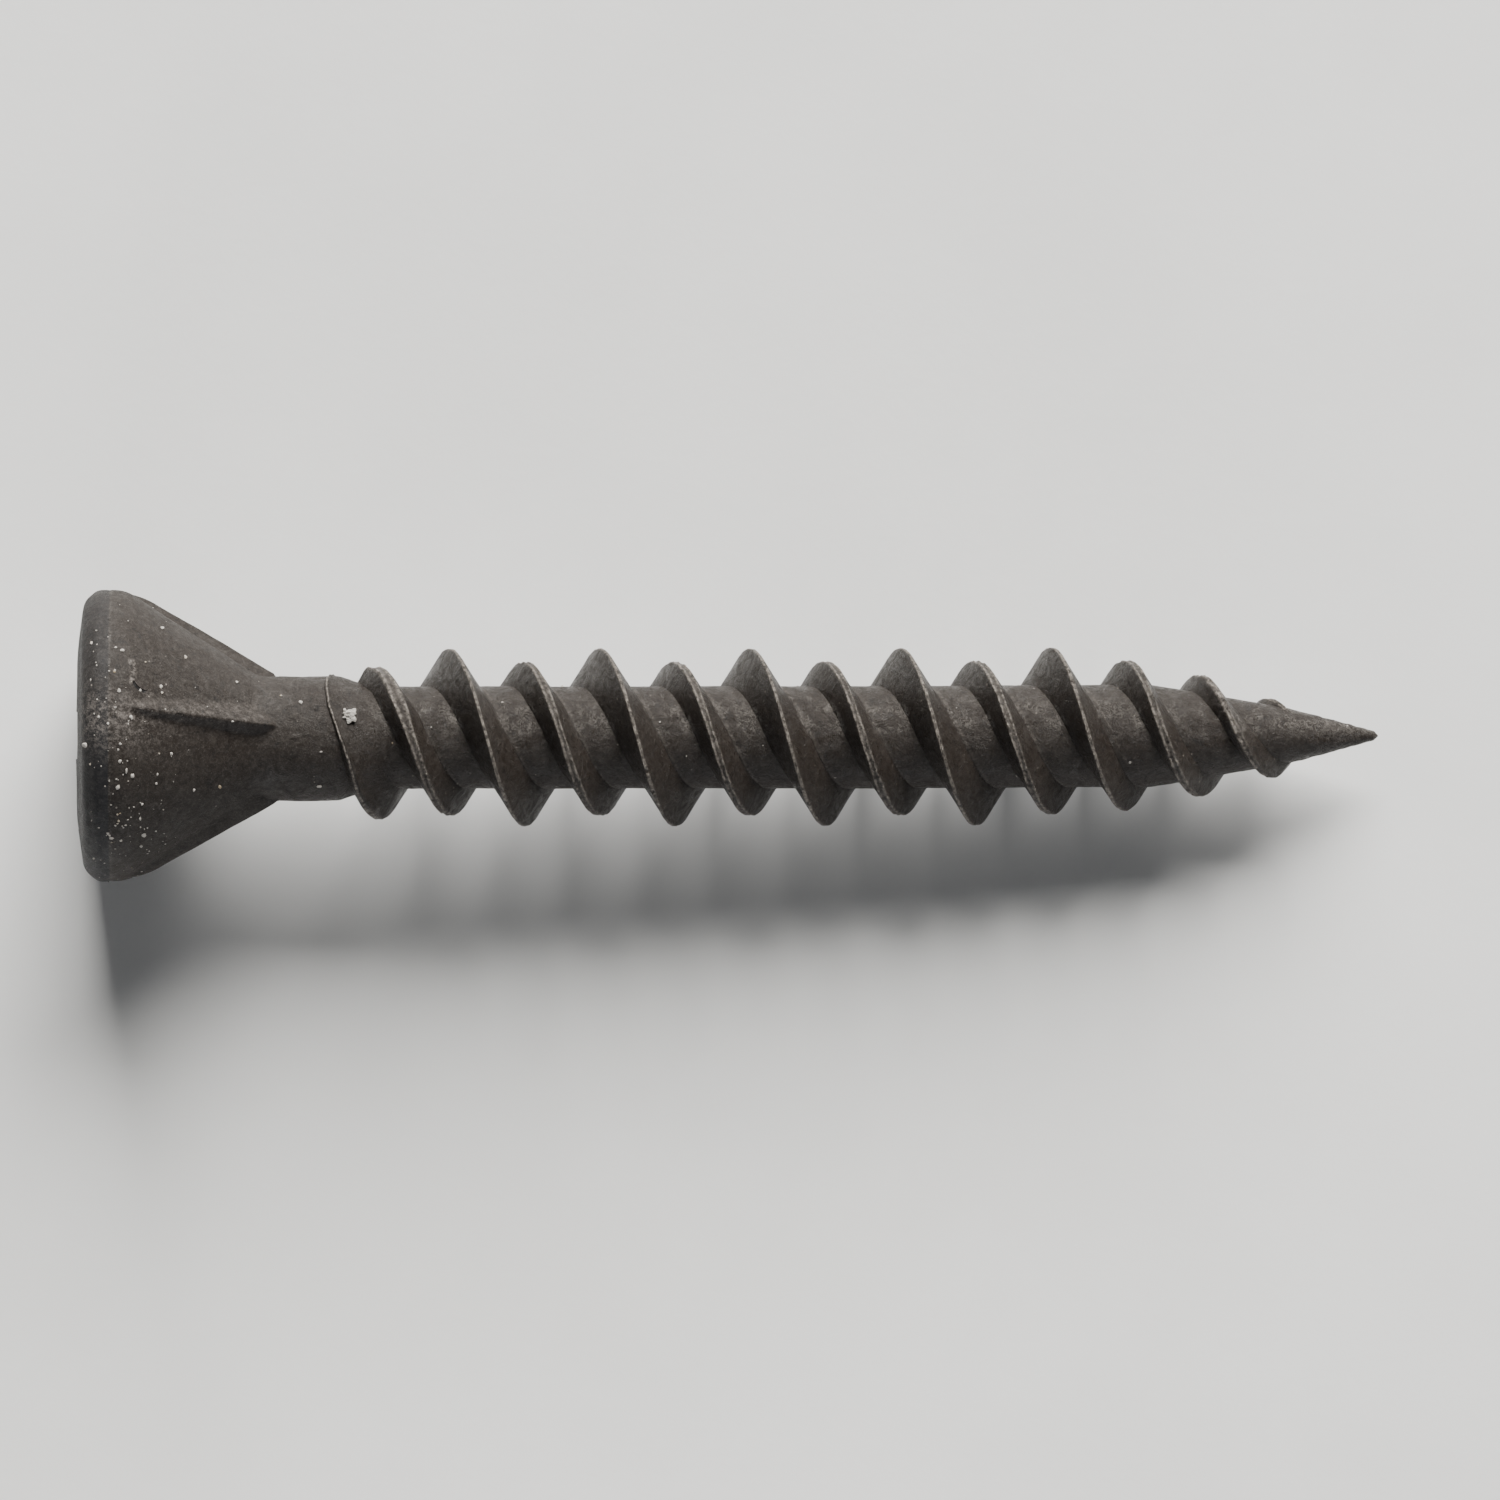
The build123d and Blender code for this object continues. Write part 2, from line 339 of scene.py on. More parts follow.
def rib_radius(x, radius, turn):
    """The radius of the nearest rib's roof at a place on the head."""
    spacing = 2 * math.pi / RIB_COUNT
    aside = (turn - RIB_FIRST_TURN + spacing / 2) % spacing - spacing / 2
    ridge = RIB_END_RADIUS + (RIB_END - x) * RIB_SLOPE
    ridge = -smooth_max(-ridge, -HEAD_RADIUS, RIB_TOP_ROUNDING)
    number = ((turn - RIB_FIRST_TURN + spacing / 2) // spacing).astype(int) % RIB_COUNT
    ridge = ridge - np.maximum(x - RIB_END, 0) * np.array(RIB_END_STEEPNESS)[number]
    ridge = ridge - np.maximum(RIB_START - x, 0) * RIB_START_STEEPNESS
    side_slope = np.where(aside > 0, RIB_STEEP_SIDE, RIB_GENTLE_SIDE)
    return ridge - np.abs(radius * np.sin(aside)) * side_slope


def recess_depth(y, z):
    """How deep the cross recess is under a point of the head's face."""
    from_axis = np.hypot(y, z)
    end_wall = (RECESS_TOP_RADIUS - from_axis) / math.tan(RECESS_END_TAPER)
    depth = (RECESS_TOP_RADIUS - RECESS_FLOOR_RADIUS) / math.tan(RECESS_END_TAPER)
    floor = depth + np.maximum(RECESS_HALF_WIDTH - from_axis, 0) / math.tan(RECESS_FLOOR_CONE)
    across = [(RECESS_HALF_WIDTH - np.abs(side)) / math.tan(RECESS_WALL_TAPER) for side in (y, z)]
    wings = smooth_max(*across, RECESS_CORNER_ROUNDING / math.tan(RECESS_WALL_TAPER))
    cut = np.minimum(np.minimum(wings, end_wall), floor)
    return smooth_max(cut, np.zeros_like(cut), RECESS_LIP_ROUNDING) * (cut > -RECESS_LIP_ROUNDING)


def head_points():
    """The head's skin: from the middle of its face, down the recess, over the rim and down to the neck."""
    outline = rounded_outline(FACE_CORNERS, HEAD_SPACING)
    turn = turns(ROUND_STEPS)[None, :]
    x, radius = outline[:, :1], outline[:, 1:]
    direction = np.gradient(outline, axis=0)
    direction /= np.linalg.norm(direction, axis=1, keepdims=True)
    out_x, out_radius = -direction[:, 1:], direction[:, :1]
    rough = FORGED_HEIGHT * layered(around(x, radius, turn), FORGED_NOISE)
    wander = PARTING_LINE_WANDER * layered(around(0 * x, radius, turn), PARTING_LINE_NOISE)
    line = np.exp(-((x - (PARTING_LINE_X + wander)) / PARTING_LINE_WIDTH) ** 2)
    rough = rough - PARTING_LINE_DEPTH * line * (out_radius > PARTING_LINE_FACING)
    on_side = out_radius > SIDE_FACING
    ribbed = smooth_max(radius + 0 * turn, rib_radius(x, radius, turn), RIB_ROUNDING)
    ribbed = np.minimum(ribbed, HEAD_RADIUS)
    radius = np.where(on_side, np.maximum(ribbed, radius), radius + 0 * turn)
    fade = np.clip((HEAD_END - x) / FORGED_FADE, 0, 1)
    radius = radius + out_radius * rough * fade
    x = x + out_x * rough * fade
    y, z = radius * np.cos(turn), radius * np.sin(turn)
    x = x + np.where(on_side, 0, recess_depth(y, z))
    return around(x, radius, turn)


def skin_radius(x, turn):
    """The radius of the head or the shaft under a crumb."""
    outline = rounded_outline(FACE_CORNERS[2:] + SHAFT_CORNERS[1:], CRUMB_OUTLINE_SPACING)
    radius = np.interp(x, outline[:, 0], outline[:, 1])
    if x < HEAD_END:
        radius = max(radius, min(rib_radius(x, radius, np.array(turn)), HEAD_RADIUS))
    return radius


def shaft_radius(x, radius, turn):
    """The rolled shaft's true radius with its unevenness."""
    places = around(x, radius, turn)
    coarse = layered(places, ROLLED_NOISE)
    patchy = np.clip(PATCH_MIDDLE + layered(places, PATCH_NOISE), PATCH_MIN, 1)
    pitted = layered(places, PIT_NOISE) - CREASE_WEIGHT * np.abs(layered(places, CREASE_NOISE))
    return radius + ROLLED_HEIGHT * coarse + PIT_HEIGHT * patchy * pitted


def root_line(x, turn):
    """1 on the fine line at the foot of each thread's far flank, and 0 away from it."""
    line = 0
    for crest_at_y, aside in zip((HIGH_CREST_AT_Y, HIGH_CREST_AT_Y + LEAD / 2), ROOT_LINE_ASIDE):
        foot = crest_at_y + aside + LEAD * turn / (2 * math.pi)
        away = (x - foot + LEAD / 2) % LEAD - LEAD / 2
        line = line + np.exp(-(away / ROOT_LINE_WIDTH) ** 2)
    rise = np.clip((x - ROOT_LINE_START) / ROOT_LINE_RISE, 0, 1)
    fall = np.clip((ROOT_LINE_END - x) / ROOT_LINE_RISE, 0, 1)
    return line * rise * fall


def shaft_points(start, end, round_steps, spacing):
    """The skin of one stretch of the shaft, and how worn each point is."""
    whole = rounded_outline(SHAFT_CORNERS, SHAFT_OUTLINE_SPACING)
    if end < TIP_X:
        x = np.linspace(start, end, round((end - start) / spacing))
        radius = np.interp(x, whole[:, 0], whole[:, 1])
    else:
        tip = whole[whole[:, 0] >= start - ROUNDING_ERROR]
        keep = np.linspace(0, len(tip) - 1, round((end - start) / spacing)).astype(int)
        x, radius = tip[keep].T
    turn = turns(round_steps)[None, :]
    x, radius = x[:, None], radius[:, None]
    near_tip = np.clip((x - TIP_BURR_START) / TIP_BURR_RISE, 0, 1)
    burr = near_tip * TIP_BURR_HEIGHT * layered(around(x, radius, turn), TIP_BURR_NOISE)
    burr = burr * np.clip(radius / TIP_BURR_FULL_RADIUS, 0, 1)
    line = root_line(x, turn)
    radius = shaft_radius(x, radius, turn) + burr + line * ROOT_LINE_HEIGHT
    return around(x, radius, turn), ROOT_LINE_WEAR * line


def flank_and_edge(middle, radius, half_flat, edge, flank_tan, side, groove):
    """One side of a thread's section, from under the shaft's skin to the crest: distances aside and radii."""
    whole = rounded_outline(SHAFT_CORNERS, THREAD_OUTLINE_SPACING)
    flank_top = half_flat + edge * FLANK_TOP_SHARE
    root = np.interp(middle, *whole.T) - ROOT_BURIED
    for _ in range(ROOT_PASSES):
        root_aside = flank_top + np.maximum(radius - edge - root, 0) * flank_tan
        root = np.interp(middle + side * root_aside, *whole.T) - ROOT_BURIED
        root = np.clip(root, ROOT_RADIUS_MIN, radius - edge - FLANK_HEIGHT_MIN)
    section = []
    for share in np.linspace(0, 1, FLANK_STEPS + 1):
        section.append((root_aside + (flank_top - root_aside) * share, root + (radius - edge - root) * share))
    for beyond, below in EDGE_POINTS:
        section.append((half_flat + edge * beyond, radius - edge * below))
    for inward, depth in GROOVE_POINTS:
        section.append((half_flat * inward, radius - groove * depth))
    return section


def thread_points(crest, crest_at_y, groove, offset, seed):
    """A thread's skin as sections along its helix, and how worn each point is: most on the crest's edges.

    A crest radius grows by the offset on the screw's lower side and shrinks by it on the upper side.
    """
    table = np.array(crest)
    places, crest_radii = table[:, 0], table[:, 1]
    turn_length = math.hypot(LEAD, 2 * math.pi * crest_radii.max())
    steps = round((places[-1] - places[0]) / LEAD * turn_length / THREAD_SPACING)
    helix_x = np.linspace(places[0], places[-1], steps)[:, None]
    turn = 2 * math.pi * (helix_x - crest_at_y) / LEAD
    radius, half_flat, shift, slack, edge = (
        np.interp(helix_x, places, table[:, column]) for column in (1, 2, 3, 4, 5))
    middle = helix_x + shift
    offset_share = np.clip((helix_x - CREST_OFFSET_START) / CREST_OFFSET_RISE, 0, 1)
    radius = radius - offset * np.cos(turn) * offset_share
    on_crest = around(middle, radius, turn)
    half_flat = half_flat * (1 + CREST_FLAT_VARIATION * layered(on_crest, CREST_FLAT_NOISE, seed))
    far = flank_and_edge(middle, radius, half_flat, edge, FLANK_TAN * (1 + slack), 1, groove)
    near = flank_and_edge(middle, radius, half_flat, edge, FLANK_TAN, -1, groove)
    section = far + [(0 * radius, radius - groove)] + [(-aside, height) for aside, height in near[::-1]]
    aside, height = (np.hstack([part[column] + 0 * radius for part in section]) for column in range(2))
    from_edge = np.hypot((np.abs(aside) - half_flat) / (1 + edge / WEAR_REACH), height - radius)
    worn = np.exp(-(from_edge / WEAR_REACH) ** 2) * np.where(aside > 0, np.clip(1 - slack, 0, 1), 1)
    on_skin = around(middle + aside, height, turn)
    nick = np.clip(layered(on_crest, NICK_NOISE, seed) - NICK_THRESHOLD, 0, 1)
    ragged = RAGGED_HEIGHT * layered(on_skin, RAGGED_NOISE, seed)
    height = height - worn * nick * NICK_DEPTH + worn * ragged
    height = height + THREAD_HEIGHT * layered(on_skin, THREAD_NOISE, seed)
    aside = aside + worn * RAGGED_ASIDE * layered(on_skin, RAGGED_ASIDE_NOISE, seed)
    return around(middle + aside, height, turn), worn


# ---------------------------------------------------------------- meshes

def closed_mesh(name, rings, worn=None):
    """A closed mesh through rings of points, with its first and last ring filled from the middle."""
    count, across = rings.shape[:2]
    vertices = np.concatenate([rings.reshape(-1, 3), [rings[0].mean(0), rings[-1].mean(0)]])
    here = np.arange(count * across).reshape(count, across)
    there = np.roll(here, -1, axis=1)
    quads = np.stack([here[:-1], there[:-1], there[1:], here[1:]], -1).reshape(-1, 4)
    first, last = count * across, count * across + 1
    start_fan = [(first, b, a) for a, b in zip(here[0], there[0])]
    end_fan = [(last, a, b) for a, b in zip(here[-1], there[-1])]
    mesh = bpy.data.meshes.new(name)
    mesh.from_pydata(vertices.tolist(), [], quads.tolist() + start_fan + end_fan)
    wear = mesh.attributes.new("wear", "FLOAT", "POINT")
    values = np.zeros(len(vertices), np.float32)
    if worn is not None:
        values[: count * across] = worn.reshape(-1)
    wear.data.foreach_set("value", values)
    mesh.shade_smooth()
    mesh.set_sharp_from_angle(angle=CAP_ANGLE)
    made = bpy.data.objects.new(name, mesh)
    bpy.context.scene.collection.objects.link(made)
    return made


def crumb_mesh(name, crumbs, seed):
    """Small angular crumbs in one mesh, each given as x, turn, size and the radius of the skin under it."""
    chance = np.random.default_rng(seed)
    shape = bmesh.new()
    bmesh.ops.create_icosphere(shape, subdivisions=CRUMB_SUBDIVISIONS, radius=1.0)
    unit = np.array([vertex.co for vertex in shape.verts])
    faces = np.array([[vertex.index for vertex in face.verts] for face in shape.faces])
    shape.free()
    vertices, polygons = [], []
    least, more = CRUMB_STRETCH
    for x, turn, size, radius in crumbs:
        place = around(x, radius + CRUMB_LIFT * size, turn)
        outward = Vector((0, math.cos(turn), math.sin(turn)))
        turned = np.array(outward.to_track_quat("Z", "Y").to_matrix())
        stretch = size * (least + more * chance.random(3)) * CRUMB_FLATNESS
        somewhere = unit + CRUMB_NOISE_REACH * chance.random(3)
        uneven = 1 + CRUMB_UNEVENNESS * layered(somewhere, CRUMB_NOISE)[:, None]
        polygons += (faces + len(vertices)).tolist()
        vertices += ((unit * uneven * stretch) @ turned.T + place).tolist()
    mesh = bpy.data.meshes.new(name)
    mesh.from_pydata(vertices, [], polygons)
    made = bpy.data.objects.new(name, mesh)
    bpy.context.scene.collection.objects.link(made)
    return made


def scattered_crumbs(seed):
    """Crumbs all round the screw, many of them on one side of the head, and a lump on the neck's cone."""
    chance = np.random.default_rng(seed)
    lump_x, lump_turn, lump_radius = STUCK_LUMP
    least, more = STUCK_CRUMB_SHARES
    crumbs = []
    for _ in range(STUCK_LUMP_CRUMBS):
        along, aside = chance.normal(0, STUCK_LUMP_REACH, 2)
        heap = STUCK_LUMP_HEIGHT * math.exp(-(along ** 2 + aside ** 2) / STUCK_LUMP_REACH ** 2)
        size = STUCK_CRUMB_SIZE * (least + more * chance.random())
        crumbs.append((lump_x + along, lump_turn + aside / lump_radius, size, lump_radius + heap))
    for x, y, size in np.array(LARGE_CRUMBS) * MM:
        radius = skin_radius(x, math.pi / 2)
        turn = math.acos(np.clip(y / radius, -1, 1))
        crumbs.append((x, turn, size, skin_radius(x, turn)))
    for count, x, x_spread, turn, turn_spread in CRUMB_GROUPS:
        for _ in range(count):
            place = min(CRUMB_MIN_X + abs(chance.normal(x, x_spread) * MM - CRUMB_MIN_X), CRUMB_MAX_X)
            size = CRUMB_SIZE * math.exp(chance.normal(0, CRUMB_SIZE_SPREAD))
            turn_here = math.radians(chance.normal(turn, turn_spread))
            crumbs.append((place, turn_here, size, skin_radius(place, turn_here)))
    return crumbs


# ---------------------------------------------------------------- materials

# Colours are linear
UMBER = (0.0125, 0.0082, 0.0056)
BROWN = (0.0165, 0.0122, 0.0092)
PIT_BLACK = (0.0030, 0.0018, 0.0012)
MOTTLE_TAN = (0.028, 0.0225, 0.018)
SCUFF_GREY = (0.046, 0.039, 0.033)
GRAIN_PALE = (0.085, 0.076, 0.068)
GRAIN_DARK = (0.004, 0.003, 0.0026)
# the rim band's own darker tone, also laid on as painted shade on its lower side
RIM_BLACK_AND_SHADE = (0.0085, 0.0086, 0.0100)
RIM_EDGE_PALE = (0.070, 0.064, 0.058)
DUST_PALE = (0.17, 0.15, 0.135)
# painted glints on the floor of the thread
PAINTED_GLINT_PALE = (0.15, 0.135, 0.12)
SPECK_PALE = (0.22, 0.195, 0.17)
BARE_STEEL = (0.27, 0.24, 0.21)
NICK_BLACK = (0.0014, 0.0010, 0.0008)
PLASTER_GREY = (0.26, 0.24, 0.215)
PLASTER_PALE = (0.38, 0.355, 0.32)
PLASTER_STAIN = (0.27, 0.20, 0.11)
TABLE_GREY = (0.78, 0.77, 0.75)
TABLE_PALE = (0.82, 0.81, 0.79)

# Places and sizes on the screw, in millimetres, and angles in degrees
SHANK_FINISH = (4.0, 7.0)  # along X, where the head's finish gives way to the shank's
RIM_X = (-1.0, 0.8)
RIM_EDGE_X = (0.80, 0.86)
DUST_BAND_X, DUST_BAND_Y = (-0.3, 1.9), (-0.1, 0.95)
DUST_STREAK_X, DUST_STREAK_Y = (-0.2, 4.6), (0.45, 0.75)
NICK_MARK = {"middle": (1.53, 1.19), "angle": -40, "half_length": 0.20, "half_width": 0.035, "bend": 1.5}
SCUFF_MARK = {"middle": (1.40, 1.60), "angle": 95, "half_length": 0.32, "half_width": 0.09, "bend": 0.3}
SCRATCH_SIDE_FADE = (0.6, 1.3)  # in half widths
SCRATCH_END_FADE = (0.8, 1.1)  # in half lengths
# where the painted glints and the fine fold relief sit: a band across Y, and near the axis
CRINKLE_AND_GLINT_Y = (0.1, 0.85)
CRINKLE_AND_GLINT_RADII = (1.30, 1.44)  # full up to the first distance from the axis and gone at the second

# Shares and surface values
DUST_IN_BAND = 0.8
DUST_IN_STREAK = 0.7
DUST_ANYWHERE = 0.12
NOISE_MIDDLE = 0.5
STEEL_IOR = 1.55
STEEL_SPECULAR = 0.21


class Nodes:
    """A material's node tree, with short calls for what the materials here use."""

    def __init__(self, name):
        self.material = bpy.data.materials.new(name)
        self.material.use_nodes = True
        self.tree = self.material.node_tree
        self.shader = self.tree.nodes["Principled BSDF"]
        place = self.add("ShaderNodeTexCoord")
        scale = self.add("ShaderNodeVectorMath", operation="SCALE")
        scale.inputs["Scale"].default_value = 1 / MM
        self.link(place.outputs["Object"], scale.inputs[0])
        self.place = scale.outputs[0]

    def add(self, kind, **settings):
        """A new node with these settings."""
        node = self.tree.nodes.new(kind)
        for key, value in settings.items():
            setattr(node, key, value)
        return node

    def link(self, source, target):
        """Joins a socket to an input, or sets the input to a plain value."""
        if hasattr(source, "links"):
            self.tree.links.new(source, target)
        else:
            target.default_value = source

    def noise(self, per_mm, detail=4.0, roughness=0.6, distortion=0.0):
        """Smooth noise from 0 to 1, with so many bumps to the millimetre."""
        node = self.add("ShaderNodeTexNoise")
        self.link(self.place, node.inputs["Vector"])
        node.inputs["Scale"].default_value = per_mm
        node.inputs["Detail"].default_value = detail
        node.inputs["Roughness"].default_value = roughness
        node.inputs["Distortion"].default_value = distortion
        return node.outputs["Fac"]

    def spots(self, per_mm):
        """The distance to the nearest of many scattered points, and a chance value for each point."""
        node = self.add("ShaderNodeTexVoronoi")
        self.link(self.place, node.inputs["Vector"])
        node.inputs["Scale"].default_value = per_mm
        split = self.add("ShaderNodeSeparateColor")
        self.link(node.outputs["Color"], split.inputs[0])
        return node.outputs["Distance"], split.outputs[0]

    def math(self, operation, a, b=0.0, clamp=False):
        """One sum on two values."""
        node = self.add("ShaderNodeMath", operation=operation, use_clamp=clamp)
        self.link(a, node.inputs[0])
        self.link(b, node.inputs[1])
        return node.outputs[0]

    def times(self, a, b, clamp=False):
        """Two values multiplied."""
        return self.math("MULTIPLY", a, b, clamp)

    def ramp(self, value, low, high, to_low=0.0, to_high=1.0):
        """A smooth change from one number to another as a value goes from low to high."""
        node = self.add("ShaderNodeMapRange", interpolation_type="SMOOTHSTEP")
        self.link(value, node.inputs["Value"])
        for key, number in (("From Min", low), ("From Max", high), ("To Min", to_low), ("To Max", to_high)):
            node.inputs[key].default_value = number
        return node.outputs["Result"]

    def fall(self, value, low, high):
        """1 below low and 0 above high, with a smooth change between them."""
        return self.ramp(value, low, high, 1.0, 0.0)

    def mix(self, share, a, b):
        """Colour a with a share of colour b over it."""
        node = self.add("ShaderNodeMix", data_type="RGBA")
        self.link(share, node.inputs["Factor"])
        for value, socket in ((a, node.inputs["A"]), (b, node.inputs["B"])):
            self.link((*value, 1) if isinstance(value, tuple) else value, socket)
        return node.outputs["Result"]

    def axis(self, name):
        """One coordinate of a place, in millimetres."""
        node = self.add("ShaderNodeSeparateXYZ")
        self.link(self.place, node.inputs[0])
        return node.outputs[name]

    def from_axis(self):
        """How far a place is from the screw's axis, in millimetres."""
        squares = [self.times(self.axis(name), self.axis(name)) for name in "YZ"]
        return self.math("SQRT", self.math("ADD", *squares))

    def within(self, name, low, high, soft):
        """1 between two places along an axis, in millimetres, and 0 a little outside them."""
        value = self.axis(name)
        rise = self.ramp(value, low - soft, low + soft)
        return self.times(rise, self.fall(value, high - soft, high + soft))

    def scratch(self, middle, angle, half_length, half_width, bend):
        """1 along a short bent mark on the camera's side and 0 away from it, with sizes in millimetres."""
        local = self.add("ShaderNodeMapping", vector_type="TEXTURE")
        self.link(self.place, local.inputs["Vector"])
        local.inputs["Location"].default_value = (*middle, 0)
        local.inputs["Rotation"].default_value = (0, 0, math.radians(angle))
        local.inputs["Scale"].default_value = (half_length, half_width, 1)
        split = self.add("ShaderNodeSeparateXYZ")
        self.link(local.outputs["Vector"], split.inputs[0])
        along, aside, height = split.outputs
        bent = self.times(self.times(along, along), bend)
        inside = self.fall(self.math("ABSOLUTE", self.math("SUBTRACT", aside, bent)), *SCRATCH_SIDE_FADE)
        ends = self.fall(self.math("ABSOLUTE", along), *SCRATCH_END_FADE)
        camera_side = self.math("GREATER_THAN", height, 0.0)
        return self.times(self.times(inside, ends), camera_side)

    def bump(self, height, distance, strength=1.0, normal=None):
        """The normal of a relief this high in metres, on top of another relief where one is given."""
        node = self.add("ShaderNodeBump")
        self.link(height, node.inputs["Height"])
        node.inputs["Distance"].default_value = distance
        node.inputs["Strength"].default_value = strength
        if normal is not None:
            self.link(normal, node.inputs["Normal"])
        return node.outputs["Normal"]

    def set(self, **values):
        """Sets the shader's inputs, with _ for the spaces in their names."""
        for key, value in values.items():
            self.link(value, self.shader.inputs[key.replace("_", " ")])


def phosphate(name):
    """Dull brown-black phosphate on steel: dusty on the head, scuffed on the shank, worn on the crests, with
    painted shade on the lower side of the head's rim and painted glints on the thread's floor.
    """
    n = Nodes(name)
    on_shank = n.ramp(n.axis("X"), *SHANK_FINISH)

    # The phosphate itself
    cloudy = n.noise(per_mm=0.7, detail=3.0)
    mottle = n.noise(per_mm=5.0, detail=8.0, roughness=0.74, distortion=0.6)
    grain = n.noise(per_mm=22.0, detail=4.0, roughness=0.75)
    scuffs = n.noise(per_mm=2.4, detail=10.0, roughness=0.78, distortion=1.5)
    crystals, _ = n.spots(per_mm=34.0)
    colour = n.mix(n.ramp(cloudy, 0.35, 0.65), UMBER, BROWN)
    colour = n.mix(n.ramp(mottle, 0.47, 0.34, to_high=0.85), colour, PIT_BLACK)
    colour = n.mix(n.ramp(mottle, 0.51, 0.72, to_high=0.7), colour, MOTTLE_TAN)
    colour = n.mix(n.ramp(scuffs, 0.55, 0.66, to_high=0.5), colour, SCUFF_GREY)
    colour = n.mix(n.ramp(grain, 0.52, 0.74, to_high=0.6), colour, GRAIN_PALE)
    colour = n.mix(n.ramp(grain, 0.47, 0.30, to_high=0.6), colour, GRAIN_DARK)

    # The head's rim: a darker bluish band, made darker still towards the bottom by painted shade, and the
    # pale line behind it
    film = n.ramp(n.noise(per_mm=6.5, detail=10.0, roughness=0.9), 0.46, 0.62)
    # painted shade: the rim's dark tone is laid on more thickly on the lower side, away from the key light
    below = n.ramp(n.axis("Y"), -1.2, 1.5, to_low=0.9, to_high=0.5)
    colour = n.mix(n.times(n.within("X", *RIM_X, soft=0.02), below), colour, RIM_BLACK_AND_SHADE)
    colour = n.mix(n.times(n.within("X", *RIM_EDGE_X, soft=0.03), film), colour, RIM_EDGE_PALE)

    # Dust, mostly in a band and a streak on the head, and on the scuff
    band = n.times(n.within("X", *DUST_BAND_X, soft=0.9), n.within("Y", *DUST_BAND_Y, soft=0.7))
    streak = n.times(n.within("X", *DUST_STREAK_X, soft=0.5), n.within("Y", *DUST_STREAK_Y, soft=0.35))
    band = n.math("MAXIMUM", band, n.times(streak, DUST_IN_STREAK))
    dust = n.times(n.math("ADD", n.times(band, DUST_IN_BAND), DUST_ANYWHERE), film)
    dust = n.math("MAXIMUM", dust, n.times(n.scratch(**SCUFF_MARK), film))
    colour = n.mix(dust, colour, DUST_PALE)

    # Painted glints: fine pale folds on the floor of the thread, lightened only in a band on the upper side
    # where the key light's highlight falls; the same folds also give the floor a fine relief
    folds = n.noise(per_mm=6.0, detail=5.0, roughness=0.7, distortion=1.0)
    folds = n.fall(n.math("ABSOLUTE", n.math("SUBTRACT", folds, NOISE_MIDDLE)), 0.005, 0.06)
    folds = n.times(folds, n.ramp(n.noise(per_mm=1.8, detail=3.0), 0.44, 0.58))
    glint_valley = n.times(n.within("Y", *CRINKLE_AND_GLINT_Y, soft=0.25), n.fall(n.from_axis(), *CRINKLE_AND_GLINT_RADII))
    crinkles_and_painted_glints = n.times(folds, n.times(glint_valley, on_shank))
    # painted glints: the folds lightened where the highlight falls
    colour = n.mix(n.times(crinkles_and_painted_glints, 0.7), colour, PAINTED_GLINT_PALE)

    # Scattered specks, the crests' worn edges, and the nick in the head
    speck_distance, speck_chance = n.spots(per_mm=5.0)
    specks = n.math("LESS_THAN", speck_distance, n.ramp(speck_chance, 0.86, 1.0, to_high=0.13))
    colour = n.mix(n.times(specks, 0.7), colour, SPECK_PALE)
    wear = n.add("ShaderNodeAttribute", attribute_name="wear").outputs["Fac"]
    scratchy = n.noise(per_mm=9.0, detail=6.0, roughness=0.8)
    bright = n.times(wear, n.ramp(scratchy, 0.40, 0.62), clamp=True)
    colour = n.mix(n.times(bright, 0.8), colour, BARE_STEEL)
    nick = n.scratch(**NICK_MARK)
    colour = n.mix(n.times(nick, 0.92), colour, NICK_BLACK)

    # Gloss: the shank is smoother than the head, and dust is dull
    roughness = n.ramp(scuffs, 0.35, 0.62, to_low=0.70, to_high=0.50)
    polish = n.times(n.ramp(scuffs, 0.35, 0.62, to_low=0.08, to_high=0.26), on_shank)
    roughness = n.math("SUBTRACT", roughness, polish)
    dull = n.math("MAXIMUM", specks, dust)
    roughness = n.math("ADD", roughness, n.times(dull, 0.3), clamp=True)

    relief = None
    scuff_height = n.times(scuffs, n.ramp(n.axis("X"), *SHANK_FINISH, to_low=0.5))
    for height, distance, strength in (
        (mottle, 0.022 * MM, 0.9),
        (scuff_height, 0.080 * MM, 0.9),
        (crinkles_and_painted_glints, 0.012 * MM, 0.9),
        (grain, 0.010 * MM, 0.9),
        (crystals, 0.002 * MM, 0.6),
        (scratchy, 0.006 * MM, 0.5),
        (nick, -0.05 * MM, 1.0),
    ):
        relief = n.bump(height, distance, strength, relief)
    n.set(Base_Color=colour, Roughness=roughness, Metallic=n.times(bright, 0.6), Normal=relief)
    n.shader.inputs["IOR"].default_value = STEEL_IOR
    n.shader.inputs["Specular IOR Level"].default_value = STEEL_SPECULAR
    return n.material


def plaster(name):
    """Pale, chalky mineral with a yellowish stain."""
    n = Nodes(name)
    tone = n.noise(per_mm=7.0, detail=5.0, roughness=0.7)
    stain = n.noise(per_mm=2.5, detail=3.0)
    colour = n.mix(n.ramp(tone, 0.35, 0.65), PLASTER_GREY, PLASTER_PALE)
    colour = n.mix(n.ramp(stain, 0.56, 0.72), colour, PLASTER_STAIN)
    relief = n.bump(n.noise(per_mm=40.0, roughness=0.7), distance=0.006 * MM, strength=0.9)
    n.set(Base_Color=colour, Roughness=0.9, Normal=relief)
    return n.material


